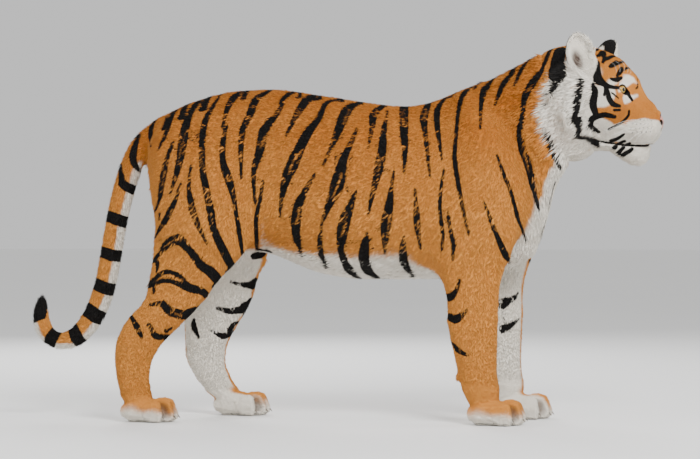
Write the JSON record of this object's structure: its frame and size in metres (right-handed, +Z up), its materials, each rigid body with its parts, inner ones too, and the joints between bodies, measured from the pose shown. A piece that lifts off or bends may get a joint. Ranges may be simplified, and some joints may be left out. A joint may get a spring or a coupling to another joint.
{
  "type": "bengal tiger",
  "caption": "Life-size still model of an adult male Bengal tiger standing with its head raised, in striped orange fur, its tail hanging and curled up at the tip.",
  "frame": {"origin": "on the floor, under the centre of the bounding box", "axes": "+X forward, from the rump to the nose; +Y to the animal's left; +Z up"},
  "size_m": [1.898, 0.4446, 1.1445],
  "materials": {
    "coat": "short matt fur, orange with black stripes",
    "pale_coat": "short matt fur, cream white",
    "black_coat": "short matt fur, black",
    "nose_skin": "bare damp skin, pink with a dark edge",
    "iris": "wet eye, amber with a round black pupil"
  },
  "bodies": {
    "root": {"neck": "coat", "chest": "coat", "loin": "coat", "rump": "coat", "tail_root": "coat", "tail_middle": "coat", "tail_lower": "coat", "tail_curl": "coat", "tail_tip": "black_coat", "right_shoulder": "coat", "left_shoulder": "coat", "right_forearm": "coat", "left_forearm": "coat", "right_fore_paw": "coat", "left_fore_paw": "coat", "right_thigh": "coat", "left_thigh": "coat", "right_lower_leg": "coat", "left_lower_leg": "coat", "right_hind_foot": "coat", "left_hind_foot": "coat", "right_hind_paw": "coat", "left_hind_paw": "coat", "head": "coat", "lower_jaw": "pale_coat", "nose": "nose_skin", "right_eye": "iris", "left_eye": "iris", "right_ear": "coat", "left_ear": "coat"}
  },
  "joints": []
}
